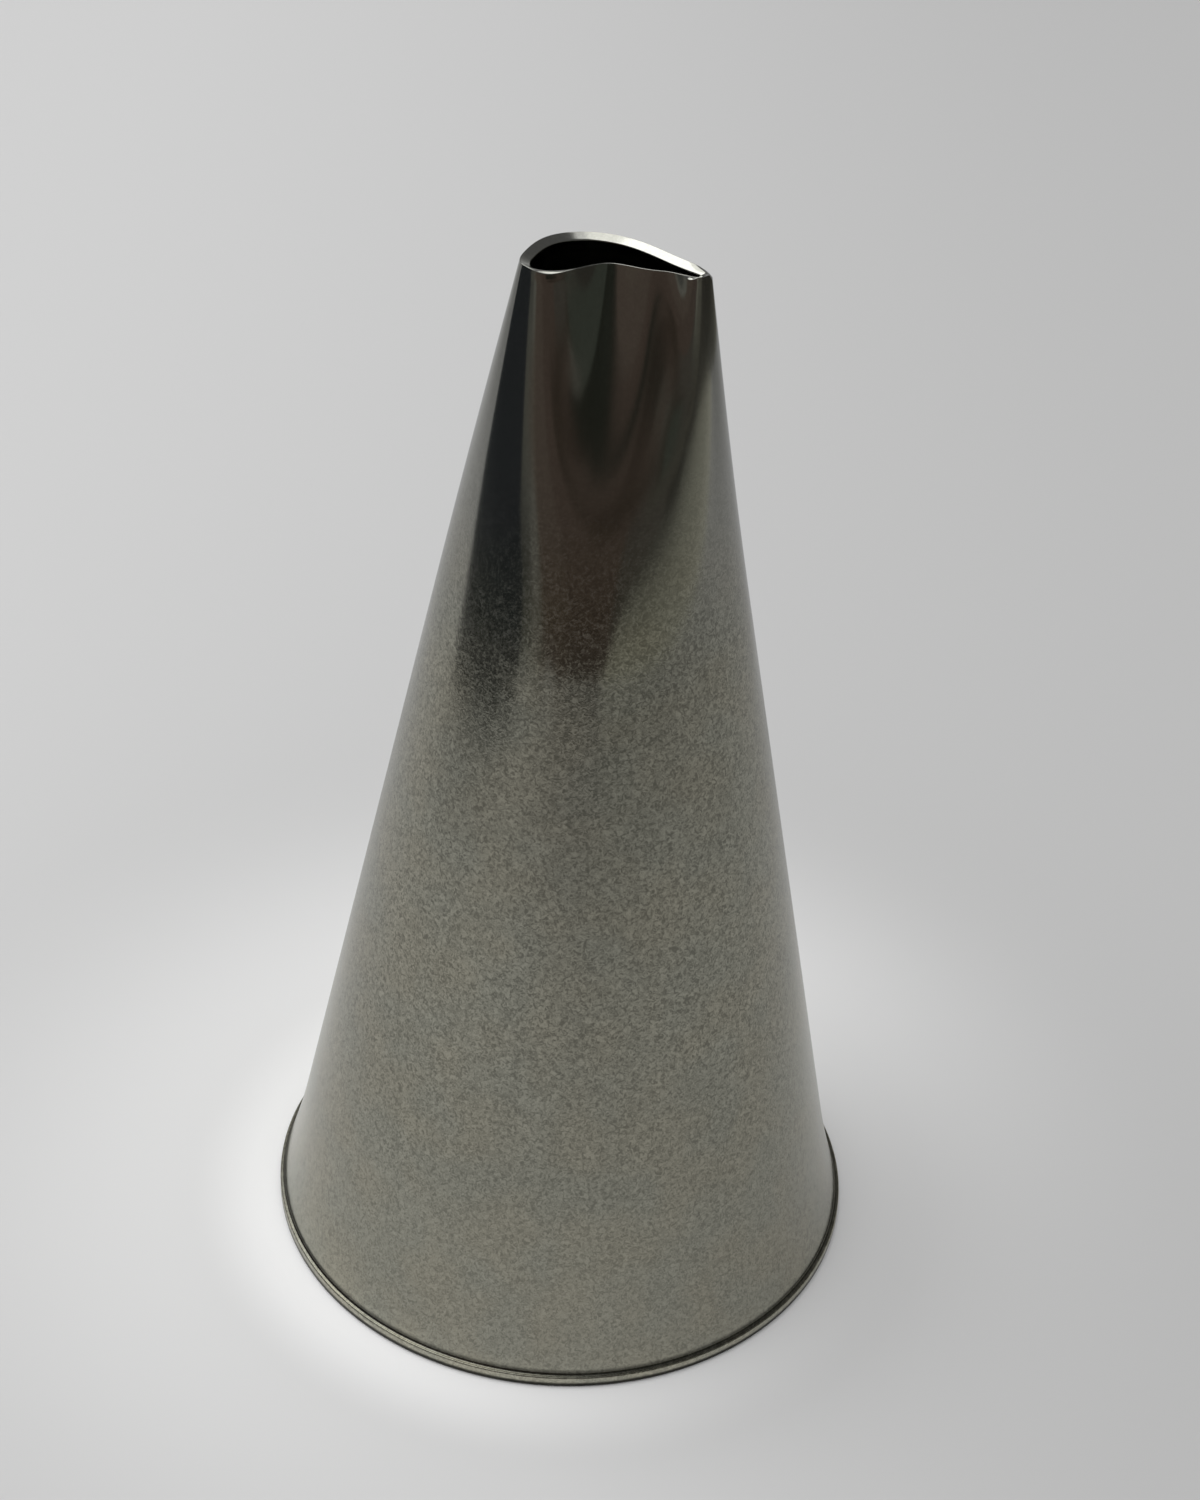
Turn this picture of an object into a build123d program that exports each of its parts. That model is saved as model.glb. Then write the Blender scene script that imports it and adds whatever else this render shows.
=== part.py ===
from build123d import *
import math
import os

# Piping nozzle with a curved slit, standing on its wide end.
# The origin is the middle of the rim on the table, +Z runs up the axis to the outlet,
# +X points to the narrow end of the slit and -Y to the hollow side of its curve.
# All sizes are in millimetres.

# Overall sizes
nozzle_height = 33.0
rim_diameter = 18.0

# Sheet: full thickness at the rim, thinned by the drawing towards the outlet
rim_sheet = 0.42
outlet_sheet = 0.28

# Rim: the flange left by the trimming die, standing a little proud of the cone
rim_face_height = 0.45
rim_step = 0.13
rim_hollow_radius = 0.12
mouth_rounding = 0.35

# Cone: the diameter that its straight wall would reach at the outlet's height,
# and a slight flare just above the rim
cone_outlet_diameter = 4.78
flare_height = 3.2
flare_step = 0.07

# Pressed tip: where the die starts to flatten the cone, how slowly the pressing grows
# from there, and how far the slit's sheet line reaches from the axis
press_start_height = 22.5
press_lead_in = 3.0
press_growth = 2.4
slit_reach = 2.48
outlet_edge_rounding = 0.08

# Hollow of the front wall: it is punched in sooner than the rest of the tip is flattened.
# How much quicker its pressing grows at the front, and how many degrees to each side
# this lead reaches
hollow_lead = 0.35
hollow_half_turn = 56

# The slit's sheet line at the outlet, halfway through the sheet, as shares of its reach:
# from the narrow end along the crowned back wall, round the wide end, and home along
# the hollow front wall
slit_line_shares = (
    (1.000, -0.195),
    (0.900, -0.100),
    (0.545, 0.165),
    (0.180, 0.420),
    (-0.240, 0.515),
    (-0.625, 0.385),
    (-0.848, 0.030),
    (-0.872, -0.215),
    (-0.800, -0.285),
    (-0.620, -0.320),
    (-0.360, -0.230),
    (-0.020, -0.070),
    (0.400, -0.160),
    (0.720, -0.220),
    (0.930, -0.275),
)

# Shares of the pressed length at which its sections are drawn
press_level_shares = (0.2, 0.4, 0.6, 0.8, 1.0)

# Directions round the axis, in degrees from +X
full_turn = 360
front = 270

# Sizes that follow
rim_radius = rim_diameter / 2
cone_outlet_radius = cone_outlet_diameter / 2
wall_foot_radius = rim_radius - rim_step
cone_foot_radius = wall_foot_radius - flare_step
cone_slope = (cone_foot_radius - cone_outlet_radius) / nozzle_height
sheet_slope = (rim_sheet - outlet_sheet) / nozzle_height
pressed_length = nozzle_height - press_start_height
lead_in_height = press_start_height - press_lead_in


def cone_radius(height):
    """Outside radius of the straight cone at a height."""
    return cone_foot_radius - cone_slope * height


def sheet_at(height):
    """Thickness of the sheet at a height."""
    return rim_sheet - sheet_slope * height


def round_angles(points):
    """Angle round the axis of each point of the slit's line while the wall is still round.

    The die moves the wall from front to back only, so a point keeps its share of the width.
    """
    across = [x for x, y in points]
    middle = (max(across) + min(across)) / 2
    half_width = (max(across) - min(across)) / 2
    wide_end = across.index(min(across))
    angles = [math.degrees(math.acos((x - middle) / half_width)) for x in across]
    return angles[:wide_end] + [full_turn - angle for angle in angles[wide_end:]]


def press_share(height, angle):
    """How far the wall is on its way from a circle to the slit's line: 0 to 1."""
    climbed = (height - press_start_height) / pressed_length
    from_front = min(abs(angle - front) / hollow_half_turn, 1)
    lead = hollow_lead * math.cos(from_front * math.pi / 2) ** 2
    return climbed ** (press_growth - lead)


def moved_outward(points, distance):
    """The points of a closed line, each moved along its own outward normal."""
    moved = []
    for i, (x, y) in enumerate(points):
        before = points[i - 1]
        after = points[(i + 1) % len(points)]
        reach_in = math.dist(before, (x, y))
        reach_out = math.dist((x, y), after)
        along_x = (x - before[0]) * reach_out / reach_in + (after[0] - x) * reach_in / reach_out
        along_y = (y - before[1]) * reach_out / reach_in + (after[1] - y) * reach_in / reach_out
        length = math.hypot(along_x, along_y)
        moved.append((x + distance * along_y / length, y - distance * along_x / length))
    return moved


slit_angles = round_angles(slit_line_shares)
outlet_middle_radius = cone_outlet_radius - outlet_sheet / 2


def wall_line(height, sheets_out):
    """Closed line round the wall, half a sheet outside or inside its middle."""
    middle_radius = cone_radius(height) - sheet_at(height) / 2
    slit_scale = slit_reach * middle_radius / outlet_middle_radius
    middle = []
    for (share_x, share_y), angle in zip(slit_line_shares, slit_angles):
        pressed = press_share(height, angle)
        round_x = middle_radius * math.cos(math.radians(angle))
        round_y = middle_radius * math.sin(math.radians(angle))
        middle_x = round_x + pressed * (slit_scale * share_x - round_x)
        middle_y = round_y + pressed * (slit_scale * share_y - round_y)
        middle.append((middle_x, middle_y))
    return moved_outward(middle, sheets_out * sheet_at(height))


def pressed_sections(sheets_out):
    """Faces for the loft from the round cone through the pressed sections to the slit."""
    sections = []
    for height in (lead_in_height, press_start_height):
        with BuildSketch(Plane.XY.offset(height)) as round_section:
            Circle(cone_radius(height) - (0.5 - sheets_out) * sheet_at(height))
        sections.append(round_section.sketch.face())
    for level in press_level_shares:
        height = press_start_height + level * pressed_length
        with BuildSketch(Plane.XY.offset(height)) as pressed_section:
            with BuildLine():
                Spline(*wall_line(height, sheets_out), periodic=True)
            make_face()
        sections.append(pressed_section.sketch.face())
    return sections


outside_sections = pressed_sections(0.5)
inside_sections = pressed_sections(-0.5)

with BuildPart() as nozzle_shell:
    # The drawn cone with its rim: the cut through the wall, turned about the axis
    flare_top = (cone_radius(flare_height), flare_height)
    lead_in_outside = (cone_radius(lead_in_height), lead_in_height)
    lead_in_inside = (cone_radius(lead_in_height) - sheet_at(lead_in_height), lead_in_height)
    flare_inside = (cone_radius(flare_height) - sheet_at(flare_height), flare_height)
    wall_foot = (wall_foot_radius, rim_face_height)
    mouth_corner = (wall_foot_radius - rim_sheet, 0)
    with BuildSketch(Plane.XZ) as wall_profile:
        with BuildLine():
            Line(lead_in_outside, flare_top)
            TangentArc(flare_top, wall_foot, tangent=(cone_slope, -1))
            Line(wall_foot, (rim_radius, rim_face_height))
            Line((rim_radius, rim_face_height), (rim_radius, 0))
            Line((rim_radius, 0), mouth_corner)
            TangentArc(flare_inside, mouth_corner, tangent=(cone_slope, -1))
            Line(flare_inside, lead_in_inside)
            Line(lead_in_inside, lead_in_outside)
        make_face()
        fillet(wall_profile.vertices().sort_by_distance(wall_foot)[0], rim_hollow_radius)
        fillet(wall_profile.vertices().sort_by_distance(mouth_corner)[0], mouth_rounding)
    revolve(axis=Axis.Z)

    # The pressed tip and the slit through it
    loft(sections=outside_sections)
    loft(sections=inside_sections, mode=Mode.SUBTRACT)

    # The outer edge of the outlet, polished round
    outlet_edges = nozzle_shell.edges().group_by(Axis.Z)[-1]
    fillet(outlet_edges.sort_by(SortBy.LENGTH)[-1], outlet_edge_rounding)

nozzle_shell.part.label = "nozzle_shell"

os.makedirs("parts", exist_ok=True)
export_step(nozzle_shell.part, "parts/nozzle_shell.step")
print("nozzle_shell", round(nozzle_shell.part.volume, 2), "mm3")
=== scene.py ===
# %% [markdown]
# # A drawn steel piping nozzle
#
# A baker pushes icing through this small steel cone, and the curved slit at its narrow end
# turns the icing into a petal. This lesson builds its looks in Blender around a finished,
# measured model of the same nozzle. The measured model comes in as a frame, and every
# size below is taken from that frame or is a real size in millimetres.

# %% Load the measured model
import math

import bpy
import numpy as np
from mathutils import Matrix, Vector


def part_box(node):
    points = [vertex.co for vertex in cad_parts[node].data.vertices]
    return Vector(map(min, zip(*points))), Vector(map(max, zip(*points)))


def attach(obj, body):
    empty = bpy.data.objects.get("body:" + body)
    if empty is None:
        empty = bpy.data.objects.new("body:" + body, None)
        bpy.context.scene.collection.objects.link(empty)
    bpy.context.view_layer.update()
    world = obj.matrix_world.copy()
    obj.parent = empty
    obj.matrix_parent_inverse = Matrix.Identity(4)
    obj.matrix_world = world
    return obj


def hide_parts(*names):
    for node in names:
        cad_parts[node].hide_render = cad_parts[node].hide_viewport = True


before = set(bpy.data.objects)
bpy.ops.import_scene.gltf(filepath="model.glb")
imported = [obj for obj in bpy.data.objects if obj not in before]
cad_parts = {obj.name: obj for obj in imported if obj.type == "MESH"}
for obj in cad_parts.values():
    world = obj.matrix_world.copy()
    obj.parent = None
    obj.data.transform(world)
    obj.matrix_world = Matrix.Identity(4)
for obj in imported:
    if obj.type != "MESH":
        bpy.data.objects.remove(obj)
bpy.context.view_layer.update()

mm = 0.001
highest_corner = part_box("nozzle_shell")[1]
nozzle_height = highest_corner.z
rim_radius = round(highest_corner.x / mm, 2) * mm
print("nozzle", round(nozzle_height / mm, 2), "mm high, rim", round(2 * rim_radius / mm, 2), "mm")

# %% [markdown]
# ## A short way to write node trees
#
# Node trees are easier to read as sums. `Wire` wraps one socket, so that `a * 2 + b` adds the
# Math nodes by itself, and `add_node` makes any other node: its settings first, then the values
# or wires of its sockets. The same two serve the geometry and every material.

# %% Any node
def add_node(tree, kind, settings=None, sockets=None, output=0):
    """Adds a node, sets its settings, then its sockets, and returns a wire from one output."""
    made = tree.nodes.new(kind)
    for name, value in (settings or {}).items():
        if name == "stops":
            set_stops(made.color_ramp.elements, value)
        else:
            setattr(made, name, value)
    for name, value in (sockets or {}).items():
        if isinstance(value, Wire):
            tree.links.new(value.socket, made.inputs[name])
        else:
            made.inputs[name].default_value = value
    return Wire(tree, made.outputs[output]) if made.outputs else None


def set_stops(stops, wanted):
    """Gives a colour ramp its stops, as (place, colour) pairs."""
    while len(stops) < len(wanted):
        stops.new(1.0)
    for stop, (place, colour) in zip(stops, wanted):
        stop.position = place
        stop.color = colour


print("any node can be added")

# %% Sums of wires
class Wire:
    """One socket of a tree. Arithmetic on wires adds Math nodes to the tree."""

    def __init__(self, tree, socket):
        self.tree = tree
        self.socket = socket

    def output(self, name):
        """Another output of the same node."""
        return Wire(self.tree, self.socket.node.outputs[name])

    def join(self, operation, *values):
        """A Math node on some values, of which this wire may be one."""
        sockets = dict(enumerate(values))
        return add_node(self.tree, "ShaderNodeMath", {"operation": operation}, sockets)

    def math(self, operation, *others):
        """A Math node whose first value is this wire."""
        return self.join(operation, self, *others)

    def step(self, start, end, at_start, at_end, shape="SMOOTHSTEP"):
        """Goes from one value to another while this wire goes from start to end."""
        return add_node(self.tree, "ShaderNodeMapRange", {"interpolation_type": shape}, {
            "Value": self, "From Min": start, "From Max": end, "To Min": at_start, "To Max": at_end,
        })

    def __add__(self, other):
        return self.join("ADD", self, other)

    def __radd__(self, other):
        return self.join("ADD", other, self)

    def __sub__(self, other):
        return self.join("SUBTRACT", self, other)

    def __rsub__(self, other):
        return self.join("SUBTRACT", other, self)

    def __mul__(self, other):
        return self.join("MULTIPLY", self, other)

    def __rmul__(self, other):
        return self.join("MULTIPLY", other, self)

    def __truediv__(self, other):
        return self.join("DIVIDE", self, other)

    def __pow__(self, other):
        return self.join("POWER", self, other)


print("wires can be added, multiplied and stepped")

# %% [markdown]
# ## The camera
#
# The picture was taken from the front and above with a phone, close to the nozzle, and the
# phone was turned a few degrees. A close camera makes the wide end look larger than it is, so
# the distance matters as much as the angle.

# %% Place the camera
camera_spot = Vector((0.0, -70.4, 69.2)) * mm
camera_target = Vector((0.474, 0.0, 17.161)) * mm
camera_roll = math.radians(3.39)
nearest_seen = 1 * mm
farthest_seen = 10.0
picture_width = 1200
focal_pixels = 3019


def put_in_scene(name, data):
    """Makes an object from a mesh, a camera or a lamp and puts it in the scene."""
    made = bpy.data.objects.new(name, data)
    bpy.context.scene.collection.objects.link(made)
    return made


camera_data = bpy.data.cameras.new("camera")
camera_data.sensor_fit = "HORIZONTAL"
camera_data.sensor_width = 36.0
camera_data.lens = camera_data.sensor_width * focal_pixels / picture_width
camera_data.clip_start = nearest_seen
camera_data.clip_end = farthest_seen
camera = put_in_scene("camera", camera_data)
line_of_sight = camera_target - camera_spot
aim = line_of_sight.to_track_quat("-Z", "Y").to_matrix().to_4x4()
roll = Matrix.Rotation(camera_roll, 4, -line_of_sight.normalized())
camera.matrix_world = Matrix.Translation(camera_spot) @ roll @ aim
bpy.context.scene.camera = camera
print("camera", round(line_of_sight.length / mm, 1), "mm away, lens", round(camera_data.lens, 1))

# %% [markdown]
# ## The wall's profile
#
# A nozzle like this can be drawn from one disc of thin stainless steel. A punch pushes the disc
# through dies of falling size until it is a hollow cone, and a trimming die cuts off the uneven
# flange and leaves the narrow rim. The sheet stays thick at the rim and thins towards the outlet.
# Before the tip is pressed, the nozzle is a round cone, so one cut through its wall describes
# it. The line below runs round that cut: along the flat foot, up the trimmed rim, up the outside,
# over the outlet and down the inside. It has more points where the wall turns sharply.

# %% Sizes of the drawn cone
foot_sheet = 0.42 * mm
outlet_sheet = 0.28 * mm
cone_outlet_radius = 2.39 * mm
rim_face_height = 0.39 * mm
rim_step = 0.13 * mm
rim_hollow_radius = 0.10 * mm
rim_edge_radius = 0.05 * mm
rim_foot_radius = 0.09 * mm
flat_of_foot = 0.05 * mm
mouth_rounding = 0.35 * mm
flare_height = 3.2 * mm
flare_step = 0.07 * mm

wall_foot_radius = rim_radius - rim_step
cone_foot_radius = wall_foot_radius - flare_step
cone_slope = (cone_foot_radius - cone_outlet_radius) / nozzle_height
sheet_slope = (foot_sheet - outlet_sheet) / nozzle_height


def sheet_at(height):
    """Thickness of the sheet at a height."""
    return foot_sheet - sheet_slope * height


def outside_at(height):
    """Outside radius of the round cone at a height, with the flare above the rim."""
    flare = cone_slope * rim_face_height + flare_step
    near_foot = max(0.0, (flare_height - height) / (flare_height - rim_face_height))
    return cone_foot_radius - cone_slope * height + flare * near_foot ** 2


print("half-angle of the cone", round(math.degrees(math.atan(cone_slope)), 1), "degrees")

# %% The rim
def arc(centre, radius, start, end, points):
    """Points on an arc in the profile's plane, with its angles in degrees."""
    angles = np.radians(np.linspace(start, end, points))
    return [(centre[0] + radius * math.cos(a), centre[1] + radius * math.sin(a)) for a in angles]


def rim_line():
    """The flat of the foot, the trimmed rim and the small hollow above it."""
    foot_corner = (rim_radius - rim_foot_radius, rim_foot_radius)
    top_corner = (rim_radius - rim_edge_radius, rim_face_height - rim_edge_radius)
    hollow_level = rim_face_height + rim_hollow_radius
    hollow_centre = (outside_at(hollow_level) + rim_hollow_radius, hollow_level)
    return [
        (foot_corner[0] - flat_of_foot, 0.0),
        *arc(foot_corner, rim_foot_radius, -90, 0, 8),
        *arc(top_corner, rim_edge_radius, 0, 90, 5),
        *arc(hollow_centre, rim_hollow_radius, 268, 184, 8),
    ]


print("rim of", len(rim_line()), "points")

# %% [markdown]
# The end of the wall is cut off at the outlet and slopes inward a little. The wall's levels lie
# close together in the flare and in the pressed tip, and closest of all just below the place
# where the pressing starts, so that the polished surface shows no kink there.

# %% The levels and the end face
press_start_height = 22.5 * mm
lead_in = 3 * mm
first_wall_level = 0.8 * mm
end_face_slope = 24
outlet_edge_radius = 0.012 * mm
outlet_inner_edge_radius = 0.05 * mm


def wall_levels():
    """Heights of the points up the wall, from the rim to just below the outlet."""
    flared = np.linspace(first_wall_level, flare_height, 12)[:-1]
    straight = np.linspace(flare_height, press_start_height - lead_in, 20)
    nearing = press_start_height - lead_in * np.linspace(1, 0, 8)[1:] ** 1.5
    pressed = np.linspace(press_start_height, nozzle_height, 58)[1:-1]
    return [*flared, *straight, *nearing, *pressed]


def end_face_line():
    """The outer edge of the outlet, the sloping end face and its inner edge."""
    outer = outside_at(nozzle_height) - outlet_edge_radius
    inner = outside_at(nozzle_height) - outlet_sheet + outlet_inner_edge_radius
    fall = (outer - inner) * math.tan(math.radians(end_face_slope))
    square = 90 + end_face_slope
    outer_centre = (outer, nozzle_height - outlet_edge_radius)
    inner_centre = (inner, nozzle_height - outlet_inner_edge_radius - fall)
    outer_arc = arc(outer_centre, outlet_edge_radius, 0, square, 7)
    inner_arc = arc(inner_centre, outlet_inner_edge_radius, square, 180, 5)
    first, last = np.array(outer_arc[-1]), np.array(inner_arc[0])
    across = [tuple(first * (1 - t) + last * t) for t in np.linspace(0, 1, 8)[1:-1]]
    return [*outer_arc, *across, *inner_arc]


print("wall of", len(wall_levels()), "levels, end face of", len(end_face_line()), "points")

# %% The whole profile
def wall_profile():
    """Closed line round the cut through the wall, as (radius, height) points. The inside is
    seldom seen, so it keeps every second level."""
    levels = wall_levels()
    end_face = end_face_line()
    inside_top = end_face[-1][1] - outlet_inner_edge_radius
    inside_levels = [z for z in levels[::-2] if z < inside_top]
    mouth_radius = outside_at(mouth_rounding) - sheet_at(mouth_rounding)
    mouth_centre = (mouth_radius + mouth_rounding, mouth_rounding)
    return [
        *rim_line(),
        *[(outside_at(z), z) for z in levels],
        *end_face,
        *[(outside_at(z) - sheet_at(z), z) for z in inside_levels],
        *arc(mouth_centre, mouth_rounding, 180, 270, 9),
    ]


profile_points = wall_profile()
print("wall profile of", len(profile_points), "points")

# %% [markdown]
# ## The slit's line
#
# The die presses the round end into a curved, tapering slit. Its line is drawn halfway through
# the sheet, with a few points given as shares of the slit's reach, and a smooth closed
# curve is passed through them. The curve must have no sudden change of bend, because the tip is
# polished and would show it.

# %% Draw the slit's line
slit_reach = 2.48 * mm
fine_points = 24000
slit_line_shares = (
    (1.000, -0.195), (0.900, -0.100), (0.545, 0.165), (0.180, 0.420), (-0.240, 0.515),
    (-0.625, 0.385), (-0.848, 0.030), (-0.872, -0.215), (-0.800, -0.285), (-0.620, -0.320),
    (-0.360, -0.230), (-0.020, -0.070), (0.400, -0.160), (0.720, -0.220), (0.930, -0.275),
)


def smooth_loop(points, count):
    """Even points on the closed cubic curve through some points, with no jump in its bend."""
    points = np.array(points, float)
    total = len(points)
    spans = np.linalg.norm(np.roll(points, -1, 0) - points, axis=1)
    system = np.zeros((total, total))
    pull = np.zeros((total, 2))
    for i in range(total):
        before, after = spans[i - 1], spans[i]
        system[i, i - 1] += before
        system[i, i] += 2 * (before + after)
        system[i, (i + 1) % total] += after
        leave = (points[(i + 1) % total] - points[i]) / after
        arrive = (points[i] - points[i - 1]) / before
        pull[i] = 6 * (leave - arrive)
    bend = np.linalg.solve(system, pull)
    starts = np.concatenate([[0], np.cumsum(spans)])
    places = np.linspace(0, starts[-1], count, endpoint=False)
    span = np.searchsorted(starts, places, side="right") - 1
    following = (span + 1) % total
    length = spans[span]
    to_go = ((starts[span + 1] - places) / length)[:, None]
    gone = ((places - starts[span]) / length)[:, None]
    straight = to_go * points[span] + gone * points[following]
    curve = (to_go ** 3 - to_go) * bend[span] + (gone ** 3 - gone) * bend[following]
    return straight + curve * (length ** 2)[:, None] / 6


slit_loop = smooth_loop(slit_line_shares, fine_points)
print("slit", round(np.ptp(slit_loop[:, 0]) * slit_reach / mm, 2), "mm long in the sheet's middle")

# %% [markdown]
# The die moves the wall from front to back only, so a point of the slit's line keeps the place
# across the nozzle that it had on the round cone. The columns of the shell go round the cone in
# even turns, and each takes the point of the line that lies in its place.

# %% Share the line out over the columns
columns = 512


def even_turns(loop, count):
    """Points of a loop at even turns of a circle that is as wide as the loop."""
    right, left = loop[:, 0].argmax(), loop[:, 0].argmin()
    loop = np.roll(loop, -right, 0)
    left = (left - right) % len(loop)
    middle = (loop[0, 0] + loop[left, 0]) / 2
    across = np.clip((loop[:, 0] - middle) / (loop[0, 0] - middle), -1, 1)
    turns = np.arccos(across)
    turns[left:] = 2 * math.pi - turns[left:]
    turns = np.append(np.maximum.accumulate(turns), 2 * math.pi)
    loop = np.vstack([loop, loop[:1]])
    wanted = np.linspace(0, 2 * math.pi, count, endpoint=False)
    return np.column_stack([np.interp(wanted, turns, loop[:, i]) for i in (0, 1)])


def mesh_of(name, points, faces=()):
    """A mesh from its points and faces."""
    mesh = bpy.data.meshes.new(name)
    mesh.from_pydata(points, [], faces)
    return mesh


slit_points = [(x, y, 0.0) for x, y in even_turns(slit_loop, columns)]
slit_line = put_in_scene("slit_line", mesh_of("slit_line", slit_points))
print("slit line of", len(slit_points), "points")

# %% [markdown]
# ## The shell, by a rule
#
# Turning the profile round the axis would give the round cone. The pressed tip follows a rule
# too: at each height the wall's section is on its way from a circle to the slit's line, and the
# sheet keeps its thickness square to that section. Geometry Nodes are made for a shape that
# follows a rule, so one tree does both on a grid whose rows are the profile's points and whose
# columns go round the nozzle.
#
# The die punches the hollow at the front in sooner than it flattens the rest. There the pressing
# grows with a smaller power of the height, and this lead fades out on both sides of the front.

# %% Where the middle of the sheet lies
front_angle = 1.5 * math.pi


def point_of(geometry, index):
    """The place of one point of a mesh, as a wire that has the outputs X, Y and Z."""
    tree = geometry.tree
    position = add_node(tree, "GeometryNodeInputPosition")
    sampled = add_node(tree, "GeometryNodeSampleIndex",
                       {"data_type": "FLOAT_VECTOR", "domain": "POINT"},
                       {"Geometry": geometry, "Value": position, "Index": index})
    return add_node(tree, "ShaderNodeSeparateXYZ", {}, {0: sampled})


def middle_of_sheet(given, slit, column, climbed, middle_radius):
    """The place of the sheet's middle in one column, as x and y wires."""
    around = given.output("Around")
    slit_place = point_of(slit, column.math("FLOORED_MODULO", around))
    angle = column / around * (2 * math.pi)
    from_front = (angle - front_angle).math("ABSOLUTE") / given.output("Hollow half turn")
    in_hollow = (from_front.math("MINIMUM", 1.0) * (math.pi / 2)).math("COSINE")
    lead = given.output("Hollow lead") * in_hollow ** 2
    pressed = climbed ** (given.output("Press growth") - lead)
    slit_scale = given.output("Slit reach") / given.output("Outlet middle radius")
    x = angle.math("COSINE") * (1 - pressed) + slit_place.output("X") * slit_scale * pressed
    y = angle.math("SINE") * (1 - pressed) + slit_place.output("Y") * slit_scale * pressed
    return middle_radius * x, middle_radius * y


print("front at", round(math.degrees(front_angle)), "degrees")

# %% [markdown]
# The outer edge of the lip is worn bright in a few places. Each worn place has its turn round
# the nozzle, its reach to each side and its share of the wear. The place at the narrow end is
# given twice, at the first and at the last turn. Only the outermost edge sinks, so the wear
# looks like a small facet.

# %% Where the lip is worn
worn_places = ((222, 22, 1.0), (326, 9, 0.95), (0, 40, 1.5), (360, 12, 1.5))
wear_starts_below = 0.17 * mm
wear_is_full_below = 0.12 * mm


def worn_off(given, turn, level, out_of_middle):
    """How far the lip's outer edge has sunk."""
    worn = 0.0
    for centre, reach, share in worn_places:
        worn = worn + (turn - centre).math("ABSOLUTE").step(0.0, reach, share, 0.0)
    half_sheet = outlet_sheet / 2
    outer_share = out_of_middle.step(-half_sheet, half_sheet, 0.0, 1.0, "LINEAR")
    near_lip = level.step(nozzle_height - wear_starts_below, nozzle_height - wear_is_full_below,
                          0.0, 1.0)
    return given.output("Lip wear") * worn * outer_share ** 3 * near_lip


print("lip worn in", len(worn_places) - 1, "places")

# %% The tree that turns and presses the wall
closing_gap = 0.0001 * mm
shell_inputs = {
    "Profile": "Geometry", "Slit line": "Object", "Steel": "Material", "Around": "Int",
    "Rows": "Int", "Height": "Float", "Press start": "Float", "Press growth": "Float",
    "Hollow lead": "Float", "Hollow half turn": "Float", "Foot middle radius": "Float",
    "Outlet middle radius": "Float", "Slit reach": "Float", "Lip wear": "Float",
}


def pressed_wall(given, column, radius, level):
    """The place of each point of the turned and pressed wall."""
    height, start = given.output("Height"), given.output("Press start")
    slit_object = {"Object": given.output("Slit line")}
    slit = add_node(given.tree, "GeometryNodeObjectInfo", {}, slit_object).output("Geometry")
    taper = level / height
    middle = given.output("Foot middle radius") * (1 - taper)
    middle = middle + given.output("Outlet middle radius") * taper
    climbed = ((level - start) / (height - start)).math("MAXIMUM", 0.0)
    here_x, here_y = middle_of_sheet(given, slit, column, climbed, middle)
    next_x, next_y = middle_of_sheet(given, slit, column + 1, climbed, middle)
    last_x, last_y = middle_of_sheet(given, slit, column - 1, climbed, middle)
    along_x, along_y = next_x - last_x, next_y - last_y
    outward = (radius - middle) / (along_x * along_x + along_y * along_y) ** 0.5
    turn = column / given.output("Around") * 360
    sunk = worn_off(given, turn, level, radius - middle)
    return add_node(given.tree, "ShaderNodeCombineXYZ", {}, {
        "X": here_x + along_y * outward, "Y": here_y - along_x * outward, "Z": level - sunk})


def shell_tree():
    """Geometry nodes: a grid becomes the turned and pressed wall."""
    tree = bpy.data.node_groups.new("turned_and_pressed_wall", "GeometryNodeTree")
    for name, kind in shell_inputs.items():
        tree.interface.new_socket(name, in_out="INPUT", socket_type="NodeSocket" + kind)
    tree.interface.new_socket("Shell", in_out="OUTPUT", socket_type="NodeSocketGeometry")
    given = add_node(tree, "NodeGroupInput")
    around, rows = given.output("Around"), given.output("Rows")
    shell = add_node(tree, "GeometryNodeMeshGrid", {},
                     {"Vertices X": around + 1, "Vertices Y": rows + 1})
    index = add_node(tree, "GeometryNodeInputIndex")
    column = ((index + 0.5) / (rows + 1)).math("FLOOR")
    row = index - column * (rows + 1)
    profile_place = point_of(given.output("Profile"), row.math("MODULO", rows))
    wall = pressed_wall(given, column, profile_place.output("X"), profile_place.output("Z"))
    for kind, sockets in (
        ("GeometryNodeSetPosition", {"Position": wall}),
        ("GeometryNodeMergeByDistance", {"Distance": closing_gap}),
        ("GeometryNodeSetShadeSmooth", {}),
        ("GeometryNodeRealizeInstances", {}),
        ("GeometryNodeSetMaterial", {"Material": given.output("Steel")}),
    ):
        shell = add_node(tree, kind, {}, {"Geometry": shell, **sockets})
    add_node(tree, "NodeGroupOutput", {}, {"Shell": shell})
    return tree


press_tree = shell_tree()
print("shell tree of", len(press_tree.nodes), "nodes")

# %% [markdown]
# ## The finish of the steel
#
# The cone still has the fine, matt mottle that the drawing gives to a sheet: soft specks that are
# a little darker and a little lighter, with almost no relief, on a tint that changes slowly. The
# tip rubbed hard against the pressing die and was polished afterwards, so it is smooth and
# reflects like a dull mirror, and the change between the two takes a few millimetres. The trimmed
# face of the rim is a cut, lighter and rougher. The colour is darkened in the hollow above the rim
# and under the rim's edge, as painted shade. All of this depends on the height above the table, so
# the height drives every part of the material.

# %% Start a material
def empty_material(name):
    """A material without nodes, with its tree."""
    material = bpy.data.materials.new(name)
    material.use_nodes = True
    material.node_tree.nodes.clear()
    return material, material.node_tree


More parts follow.
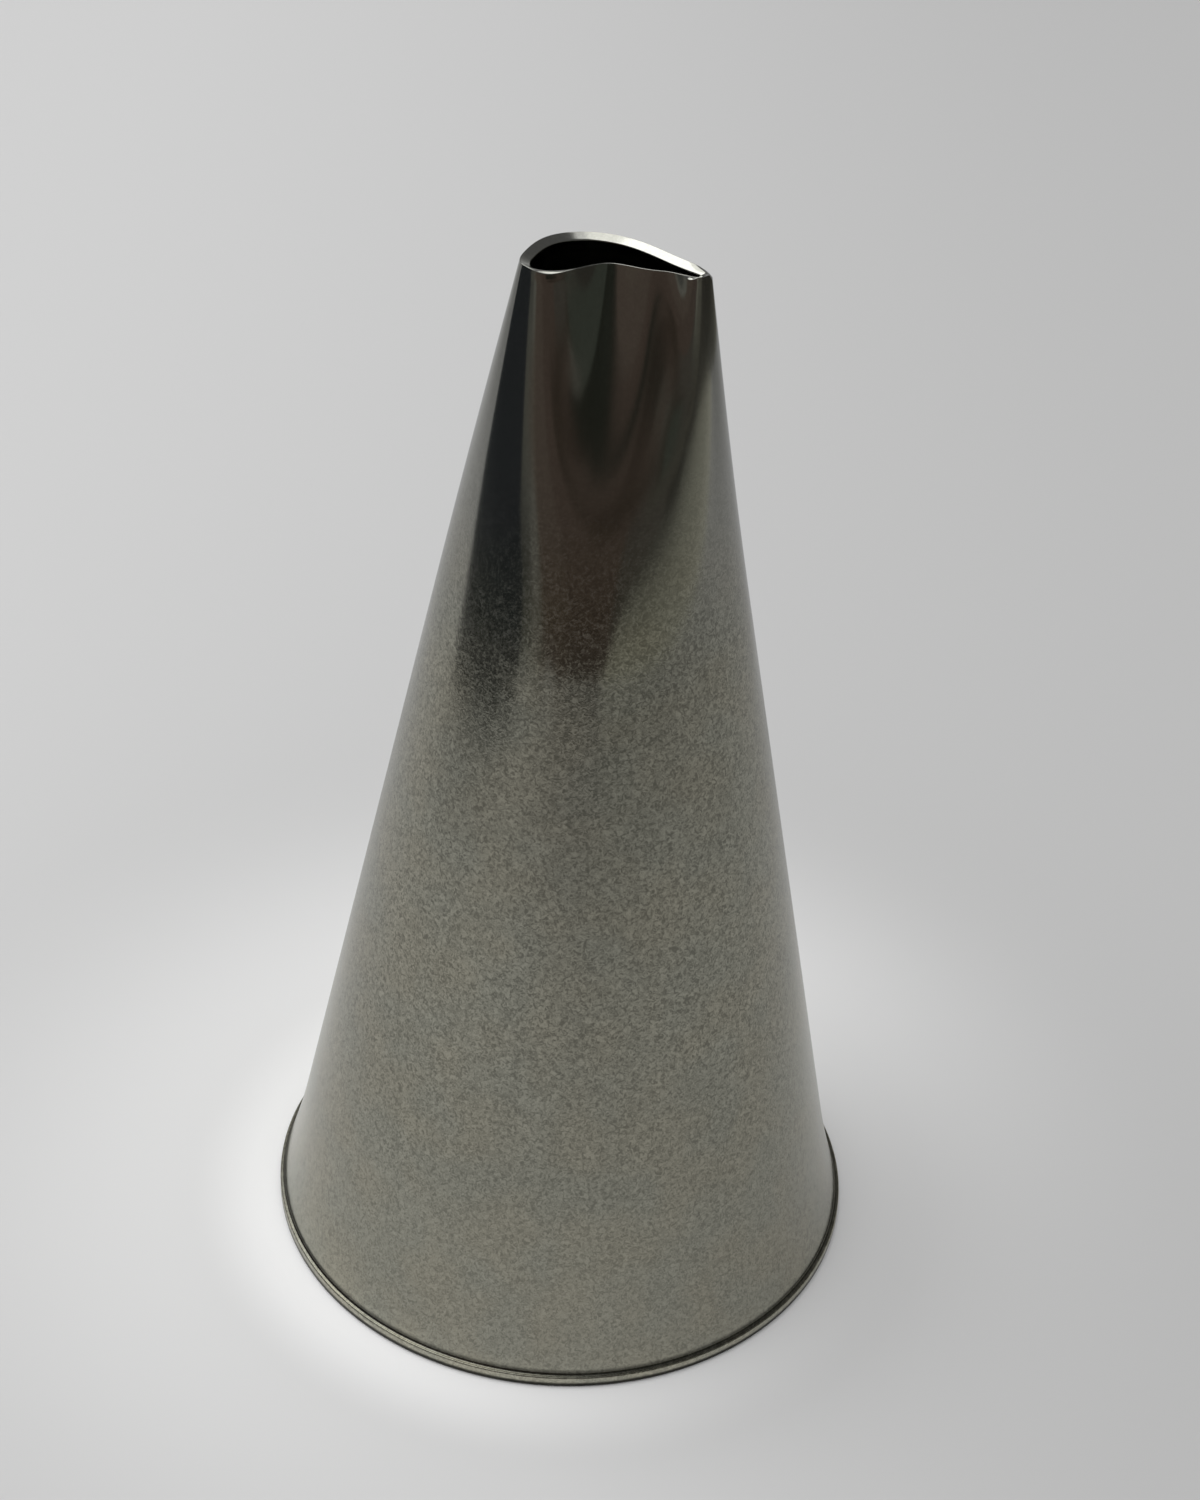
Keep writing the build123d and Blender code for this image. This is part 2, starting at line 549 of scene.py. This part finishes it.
def place_on(tree):
    """Where a point of the surface lies on its object, as a wire with X, Y and Z outputs."""
    where = add_node(tree, "ShaderNodeTexCoord").output("Object")
    return add_node(tree, "ShaderNodeSeparateXYZ", {}, {0: where})


def mixed(tree, share, first, second):
    """A colour on its way from one to another."""
    mix_settings = {"data_type": "RGBA"}
    first_colour, second_colour, mixed_colour = 6, 7, 2
    sockets = {"Factor": share, first_colour: first, second_colour: second}
    return add_node(tree, "ShaderNodeMix", mix_settings, sockets, output=mixed_colour)


print("materials can be started")

# %% The mottle of the drawn sheet
specks_per_mm = 8.0
tints_per_mm = 0.5


def mottling(tree):
    """Specks from -1, the darkest, to 1, the lightest, and the slow change of tint, 0 to 1."""
    where = add_node(tree, "ShaderNodeTexCoord").output("Object")
    specks = add_node(tree, "ShaderNodeTexNoise", {}, {
        "Vector": where, "Scale": specks_per_mm / mm, "Detail": 2.0, "Roughness": 0.5,
        "Distortion": 1.4}).output("Fac")
    tints = add_node(tree, "ShaderNodeTexNoise", {}, {
        "Vector": where, "Scale": tints_per_mm / mm, "Detail": 1.0, "Roughness": 0.5})
    specks = specks.step(0.35, 0.65, -1.0, 1.0, "LINEAR")
    return specks, tints.output("Fac").step(0.38, 0.62, 0.0, 1.0, "LINEAR")


print(specks_per_mm, "specks in a millimetre")

# %% The drawn and polished steel
warm_tint = (0.295, 0.284, 0.230, 1)
cool_tint = (0.283, 0.280, 0.233, 1)
polished_tint = (0.40, 0.40, 0.37, 1)
matt_roughness = 0.24
rubbing_smooths_by = 0.09
polishing_smooths_by = 0.03
cut_is_rougher_by = 0.16
cut_is_lighter_by = 0.3
specks_shade_by = 0.34
specks_roughen_by = 0.01
light_specks_dull_by = 0.13
relief_strength = 0.03
relief_depth = 0.01 * mm


def worked_zones(height):
    """How far the steel is rubbed and how far it is polished, by its height in millimetres."""
    rub_begins, polish_begins, polish_ends = 18.0, 21.6, 28.6
    rubbed = height.step(rub_begins, polish_begins, 0.0, 1.0)
    polish = height.step(polish_begins, polish_ends, 0.0, 1.0)
    return rubbed, polish


def rim_zones(height):
    """Where the rim is cut and where painted shade darkens it, by its height in millimetres."""
    cut_rim = height.step(0.36, 0.40, 1.0, 0.0)
    # Painted shade: the colour darkens under the rim's edge and in the hollow above the rim.
    painted_shade_under_edge = height.step(0.135, 0.245, 0.92, 0.0)
    painted_shade_in_hollow = height.step(0.36, 0.42, 0.0, 0.65) * height.step(0.47, 0.60, 1.0, 0.0)
    return cut_rim, painted_shade_under_edge + painted_shade_in_hollow


def steel_material():
    """Matt, mottled steel that becomes polished towards the tip, with a cut rim."""
    material, tree = empty_material("drawn_steel")
    height = place_on(tree).output("Z") / mm
    rubbed, polish = worked_zones(height)
    cut_rim, painted_shade = rim_zones(height)
    specks, tints = mottling(tree)
    depth = specks * (1 - polish * 0.85) * height.step(2.0, 13.0, 0.7, 1.0)
    matt = mixed(tree, tints, warm_tint, cool_tint)
    tint = mixed(tree, polish, matt, polished_tint)
    # The last factor darkens the colour at the rim with painted shade.
    brightness = (1 + depth * specks_shade_by) * (1 + cut_rim * cut_is_lighter_by) * (1 - painted_shade)
    colour = add_node(tree, "ShaderNodeVectorMath", {"operation": "SCALE"},
                      {0: tint, "Scale": brightness})
    roughness = matt_roughness - rubbed * rubbing_smooths_by - polish * polishing_smooths_by
    roughness = roughness + depth * specks_roughen_by + cut_rim * cut_is_rougher_by
    dullness = depth.math("MAXIMUM", 0.0) * (1 - polish) * light_specks_dull_by
    relief = add_node(tree, "ShaderNodeBump", {}, {
        "Height": depth, "Strength": relief_strength, "Distance": relief_depth})
    surface = add_node(tree, "ShaderNodeBsdfPrincipled", {}, {
        "Base Color": colour, "Metallic": 1 - dullness, "Roughness": roughness, "Normal": relief})
    add_node(tree, "ShaderNodeOutputMaterial", {}, {"Surface": surface})
    return material


steel = steel_material()
print("steel of", len(steel.node_tree.nodes), "nodes")

# %% [markdown]
# ## Make the shell
#
# The profile's points go into the tree as a small mesh and the sizes go into its named inputs.
# The evaluated result becomes a plain mesh, which rides on the frame's only body and takes the
# place of the measured shell.

# %% Press the wall
shell_values = {
    "Slit line": slit_line,
    "Steel": steel,
    "Around": columns,
    "Rows": len(profile_points),
    "Height": nozzle_height,
    "Press start": press_start_height,
    "Press growth": 2.4,
    "Hollow lead": 0.35,
    "Hollow half turn": math.radians(56),
    "Foot middle radius": cone_foot_radius - foot_sheet / 2,
    "Outlet middle radius": cone_outlet_radius - outlet_sheet / 2,
    "Slit reach": slit_reach,
    "Lip wear": 0.10 * mm,
}


def press_the_wall():
    """Runs the tree on the profile and gives back the finished shell."""
    profile_mesh = mesh_of("profile_points", [(r, 0.0, z) for r, z in profile_points])
    maker = put_in_scene("shell_maker", profile_mesh)
    modifier = maker.modifiers.new("press", "NODES")
    modifier.node_group = press_tree
    for item in press_tree.interface.items_tree:
        if item.name in shell_values:
            modifier[item.identifier] = shell_values[item.name]
    bpy.context.view_layer.update()
    evaluated = maker.evaluated_get(bpy.context.evaluated_depsgraph_get())
    made = bpy.data.meshes.new_from_object(evaluated)
    bpy.data.objects.remove(maker)
    return put_in_scene("nozzle_shell_skin", made)


shell = press_the_wall()
bpy.data.objects.remove(slit_line)
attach(shell, "root")
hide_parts("nozzle_shell")
print("shell", len(shell.data.vertices), "points", len(shell.data.polygons), "faces")

# %% [markdown]
# ## The paper under the nozzle
#
# The nozzle stands on pale paper. Its colour is painted a little brighter towards the window at
# the left, as painted light. The bright steel also throws some light back on the paper near the
# foot, most of it to the front left, and the paper's colour carries this glow as painted light.
# The steel itself shows the paper as darker far away, because the room's light falls off there,
# and only glossy rays see that painted shade.

# %% The colour of the paper
# The paper's colour falls from left to right as painted light from the window.
paper_at_left = 0.63
paper_at_right = 0.51
paper_change_reach = 34.0
paper_roughness = 0.9


def thrown_light(x, y):
    """The share of light that the steel throws back on the paper round its foot."""
    reach = (x * x + y * y) ** 0.5
    divisor = reach.math("MAXIMUM", 1.0)
    to_left = (1 - x / divisor) * 0.5
    to_front_left = (1 - (x * 0.5 + y * 0.87) / divisor) * 0.5
    to_back = (1 + (x * 0.26 + y * 0.97) / divisor) * 0.5
    wide = reach.step(8.0, 24.0, 1.0, 0.0) * (0.17 + to_left * 0.18)
    close = reach.step(9.0, 12.0, 1.0, 0.0) * (0.06 + to_left * 0.08 + to_front_left ** 2 * 0.32)
    behind = reach.step(8.0, 21.0, 1.0, 0.0) * to_back ** 3 * 0.32
    return wide + close + behind


def far_shade(x, y):
    """How much darker the steel shows the paper far away, on each of its four sides."""
    right_and_left = x.step(28.0, 90.0, 1.0, 0.67) * (0 - x).step(28.0, 90.0, 1.0, 0.63)
    front_and_back = (0 - y).step(20.0, 90.0, 1.0, 0.58) * y.step(8.0, 50.0, 1.0, 0.64)
    return right_and_left * front_and_back


def floor_material():
    """Pale paper, with painted light to the left and where the steel throws light on it."""
    material, tree = empty_material("pale_paper")
    place = place_on(tree)
    x, y = place.output("X") / mm, place.output("Y") / mm
    seen_in_steel = add_node(tree, "ShaderNodeLightPath").output("Is Glossy Ray")
    # The paper's colour carries painted light from the window and from the steel.
    shade = x.step(-paper_change_reach, paper_change_reach, paper_at_left, paper_at_right)
    shade = shade * (1 + thrown_light(x, y))
    shade = shade * (1 - seen_in_steel * (1 - far_shade(x, y)))
    grey = add_node(tree, "ShaderNodeCombineColor", {}, {0: shade, 1: shade, 2: shade})
    surface = add_node(tree, "ShaderNodeBsdfPrincipled", {}, {
        "Base Color": grey, "Roughness": paper_roughness})
    add_node(tree, "ShaderNodeOutputMaterial", {}, {"Surface": surface})
    return material


paper = floor_material()
print("paper of", len(paper.node_tree.nodes), "nodes")

# %% Lay the floor
floor_half_width = 6.0


def flat_sheet(name, left, right, front, back, height, material):
    """A level sheet between its four sides."""
    corners = [(left, front, height), (right, front, height),
               (right, back, height), (left, back, height)]
    mesh = mesh_of(name, corners, [(0, 1, 2, 3)])
    mesh.materials.append(material)
    return put_in_scene(name, mesh)


floor = flat_sheet("floor", -floor_half_width, floor_half_width,
                   -floor_half_width, floor_half_width, 0.0, paper)
print("floor", 2 * floor_half_width, "m wide")

# %% [markdown]
# ## The room that the tip reflects
#
# Polished steel has hardly any colour of its own and shows the room. In the picture the tip shows
# a dark blue-black shape at the left, brown shapes in the middle with a green wedge between them,
# and a pale room at the right. Cards bent round the nozzle stand in for these. Only the steel's
# reflections see them, so they add no light and throw no shadow. The hollow of the tip bends each
# card into a wedge, as it does with the real room, so every card is placed where its reflection
# falls in the picture.

# %% What a card is
widest_face = 3


def glow_material(name, shades):
    """A glow of one colour, or one that changes with height, given as (mm, colour) pairs."""
    material, tree = empty_material(name)
    lowest, highest = shades[0][0], shades[-1][0]
    if len(shades) == 1:
        colour = (*shades[0][1], 1)
    else:
        stops = [((height - lowest) / (highest - lowest), (*shade, 1)) for height, shade in shades]
        share = (place_on(tree).output("Z") / mm - lowest) / (highest - lowest)
        colour = add_node(tree, "ShaderNodeValToRGB", {"stops": stops}, {"Fac": share})
    surface = add_node(tree, "ShaderNodeEmission", {}, {"Color": colour, "Strength": 1.0})
    add_node(tree, "ShaderNodeOutputMaterial", {}, {"Surface": surface})
    return material


def only_for_reflections(made):
    """Hides a card from everything but the steel's reflections."""
    made.visible_camera = False
    made.visible_diffuse = False
    made.visible_shadow = False
    made.visible_transmission = False


def card(name, outline, *shades):
    """A card bent round the nozzle. Its outline is given as (degrees from the front, positive to
    the right; distance, low edge and high edge in millimetres)."""
    points, faces = [], []
    for before, after in zip(outline, outline[1:]):
        steps = max(1, round(abs(after[0] - before[0]) / widest_face))
        first = len(points)
        for i in range(steps + 1):
            turn, reach, low, high = [p + (q - p) * i / steps for p, q in zip(before, after)]
            x, y = reach * math.sin(math.radians(turn)), -reach * math.cos(math.radians(turn))
            points += [(x * mm, y * mm, low * mm), (x * mm, y * mm, high * mm)]
        for i in range(first, first + 2 * steps, 2):
            faces.append((i, i + 2, i + 3, i + 1))
    mesh = mesh_of(name, points, faces)
    mesh.materials.append(glow_material(name, shades))
    made = put_in_scene(name, mesh)
    only_for_reflections(made)


print("cards bend every", widest_face, "degrees")

# %% The dark shape at the left and the grey line beside it
top = 85
card("card_blue_black",
     [(-108.5, 60, 10, top), (-100.5, 59, 2, top), (-95, 59, 0, top), (-75, 63, 0, top),
      (-60, 68, 0, top), (-56, 72, 0, top), (-51, 76, 0, top), (-50.5, 76, 0, 24),
      (-46, 80, 0, 18)],
     (0, (0.085, 0.085, 0.080)), (4, (0.066, 0.069, 0.069)), (7, (0.048, 0.052, 0.054)),
     (11, (0.034, 0.038, 0.041)), (16, (0.025, 0.028, 0.031)), (top, (0.025, 0.028, 0.031)))
card("card_soft_grey",
     [(-51, 95.5, 20, 30), (-47, 95.5, 12, 32), (-46, 95.5, 0, 32), (-36, 95.5, 0, 33)],
     (0, (0.21, 0.21, 0.19)), (6, (0.135, 0.137, 0.122)), (10, (0.110, 0.112, 0.100)),
     (16, (0.085, 0.087, 0.079)), (21, (0.074, 0.076, 0.069)), (25, (0.080, 0.081, 0.072)),
     (29, (0.105, 0.106, 0.093)), (33, (0.115, 0.117, 0.102)))
card("card_thin_grey", [(-39, 95, 0, 25), (-36, 95, 0, 33), (-31.5, 95, 0, 33)],
     (0, (0.28, 0.27, 0.24)), (6, (0.22, 0.21, 0.19)), (13, (0.16, 0.157, 0.14)),
     (33, (0.14, 0.137, 0.122)))
print("left cards up to", top, "mm high")

# %% The brown shapes in the middle
brown = (0.095, 0.076, 0.062)
card("card_brown_left", [(-54, 96, 0, top), (-28, 96, 0, top)], (0, (0.105, 0.086, 0.069)))
card("card_brown", [(-30, 92, 12, top), (-26, 93, 5, top), (-20, 95, 1, top), (-14, 97, 0, top)],
     (0, brown), (top, (0.095, 0.073, 0.060)))
card("card_brown_middle",
     [(-14, 97, 0, top), (-4, 99, 0, top), (7, 99, 0, top), (11.4, 99, 7.8, top),
      (14.3, 99, 16, top), (18.3, 99, 24, top), (22.3, 99, 27.6, top), (29, 99, 29.6, top),
      (38, 99, 30, top), (46, 99, 28.5, top), (49, 99, 30, top)],
     (0, (0.074, 0.062, 0.052)), (15, (0.079, 0.062, 0.052)), (30, (0.078, 0.059, 0.048)),
     (top, (0.080, 0.056, 0.045)))
card("card_brown_side", [(-56, 86, 43, top), (-38, 86, 40, top)], (0, brown))
card("card_dark_brown", [(3, 96.8, 50, 55.5), (12, 96.8, 49.5, 55), (18, 96.8, 49.5, 52.5)],
     (0, (0.050, 0.036, 0.028)))
print("brown cards in the middle")

# %% The lines at the edge of the brown
card("card_grey_band",
     [(12, 97.5, 14, 41), (17, 97.5, 22.5, 41.8), (22.3, 97.5, 27.6, 41.6), (29, 97.5, 29.6, 41.3),
      (33, 97.5, 30, 40.6), (36, 97.5, 30, 38.5), (42, 97.5, 29.3, 36.5), (48, 97.5, 29.5, 34)],
     (0, (0.066, 0.060, 0.051)))
card("card_dark_line",
     [(-4, 97, 45.5, 49.8), (-1, 97, 44, 50), (3, 97, 43.8, 49.6), (9, 97, 43.4, 48.4),
      (13, 97, 42.8, 47), (18, 97, 42.8, 46), (24, 97, 41.9, 45), (29, 97, 40.8, 44),
      (33, 97, 37.5, 41.5), (35, 97, 34.5, 38)],
     (0, (0.036, 0.027, 0.019)))
card("card_black_line",
     [(41, 96.9, 30, 31.2), (45, 96.9, 28.8, 31.8), (49, 96.9, 27.4, 31.6), (54, 96.9, 26.2, 30)],
     (0, (0.016, 0.015, 0.012)))
print("three lines at the edge of the brown")

# %% The green wedge
dark_green = (0.015, 0.017, 0.012)
card("card_green_dark",
     [(-21, 96, 63.5, top), (-14, 96, 64, top), (-11, 96, 62.9, top), (-7.7, 96, 60.9, top),
      (-5.2, 96, 57.2, top), (-4, 96, 54.2, top), (-3, 96, 53.6, top), (-1.8, 96, 54.6, top),
      (0, 96, 55.8, top), (3, 96, 55.7, top), (7, 96, 54.8, top), (12, 96, 53.3, top),
      (16, 96, 51, top), (19, 96, 50.3, top)],
     (0, dark_green), (66, dark_green), (76, (0.040, 0.048, 0.038)), (top, (0.042, 0.050, 0.040)))
card("card_green_light",
     [(19, 96, 50.3, top), (24, 96, 48.5, top), (28, 96, 47, top), (32, 96, 42.5, top),
      (36, 96, 36, top), (50, 96, 34, top)],
     (0, (0.050, 0.057, 0.046)))
card("card_streak",
     [(17, 95.8, 54.5, 56), (24, 95.8, 49.5, 52.5), (28, 95.8, 45, 48.5), (29.5, 95.8, 43, 46.8)],
     (0, (0.115, 0.11, 0.095)))
print("green wedge with its light streak")

# %% The pale room at the right
card("card_right", [(4, 104, 0, top), (150, 104, 0, top)],
     (0, (0.37, 0.365, 0.315)), (5, (0.315, 0.31, 0.265)), (8, (0.257, 0.253, 0.215)),
     (13, (0.237, 0.234, 0.197)), (17, (0.214, 0.212, 0.178)), (20, (0.177, 0.175, 0.147)),
     (23, (0.137, 0.136, 0.114)), (27, (0.084, 0.084, 0.070)), (30, (0.05, 0.05, 0.042)),
     (top, (0.04, 0.04, 0.033)))
card("card_near_right",
     [(49, 20, 28.4, 40), (56, 20, 28.0, 40), (64, 20, 27.5, 40), (78, 20, 26.6, 40),
      (93, 20, 25.5, 40), (108, 20, 24.5, 40), (126, 20, 23.7, 40), (140, 20, 23.2, 40)],
     (23, (0.16, 0.155, 0.13)), (24.3, (0.12, 0.117, 0.10)), (25.2, (0.078, 0.076, 0.065)),
     (26.3, (0.062, 0.06, 0.051)), (27.3, (0.038, 0.036, 0.03)), (40, (0.036, 0.034, 0.028)))
card("card_near_grey", [(24, 20, 28.8, 29.9), (49, 20, 28.4, 29.7)], (0, (0.066, 0.062, 0.050)))
print("right cards, two of them close to the tip")

# %% [markdown]
# ## The window above
#
# The back half of the outlet's sloping end face looks up at the window and shines, brightest at
# the right. The left part looks at the dark side of the room. Three flat cards above give this.

# %% Hang the cards above the nozzle
window_height = 120 * mm
window_front, window_back = 10 * mm, 110 * mm
for name, left, right, shade in (
    ("card_window", -110, -22, (2.7, 2.7, 2.65)),
    ("card_window_side", -22, 3, (1.8, 1.8, 1.75)),
    ("card_window_edge", 3, 12, (1.1, 1.1, 1.1)),
):
    made = flat_sheet(name, left * mm, right * mm, window_front, window_back, window_height,
                      glow_material(name, [(0, shade)]))
    only_for_reflections(made)
print("window", round(window_height / mm), "mm above the table")

# %% [markdown]
# ## Light
#
# The light is plain: one large, soft lamp at the window's place and an even pale room. The room
# looks darker in the steel than to the camera, as the real one does, and more so higher up.

# %% The window's light
lamp_spot = Vector((-0.12, 0.03, 0.30))
lamp_width = 0.26
lamp_power = 0.34
lamp_data = bpy.data.lights.new("window", "AREA")
lamp_data.shape = "DISK"
lamp_data.size = lamp_width
lamp_data.energy = lamp_power
lamp = put_in_scene("window", lamp_data)
lamp.location = lamp_spot
lamp.rotation_euler = (-lamp_spot).to_track_quat("-Z", "Y").to_euler()
print("lamp", round(lamp_spot.length / mm), "mm away")

# %% The pale room
room_level = 0.72
camera_drop = 0.12
steel_sees_low_down = 0.42
steel_sees_high_up = 0.12


def room():
    """An even room, which the steel sees as darker, most of all high up."""
    world = bpy.data.worlds.new("room")
    world.use_nodes = True
    tree = world.node_tree
    tree.nodes.clear()
    rays = add_node(tree, "ShaderNodeLightPath")
    direction = add_node(tree, "ShaderNodeTexCoord")
    up = add_node(tree, "ShaderNodeSeparateXYZ", {}, {0: direction}).output("Z")
    in_steel = up.step(0.1, 0.6, steel_sees_low_down, steel_sees_high_up)
    level = room_level - rays.output("Is Camera Ray") * camera_drop
    level = level - rays.output("Is Glossy Ray") * (room_level - in_steel)
    grey = add_node(tree, "ShaderNodeCombineColor", {}, {0: level, 1: level, 2: level})
    background = add_node(tree, "ShaderNodeBackground", {}, {"Color": grey})
    add_node(tree, "ShaderNodeOutputWorld", {}, {"Surface": background})
    return world


bpy.context.scene.world = room()
bpy.context.scene.view_settings.view_transform = "Standard"
print("room at level", room_level)
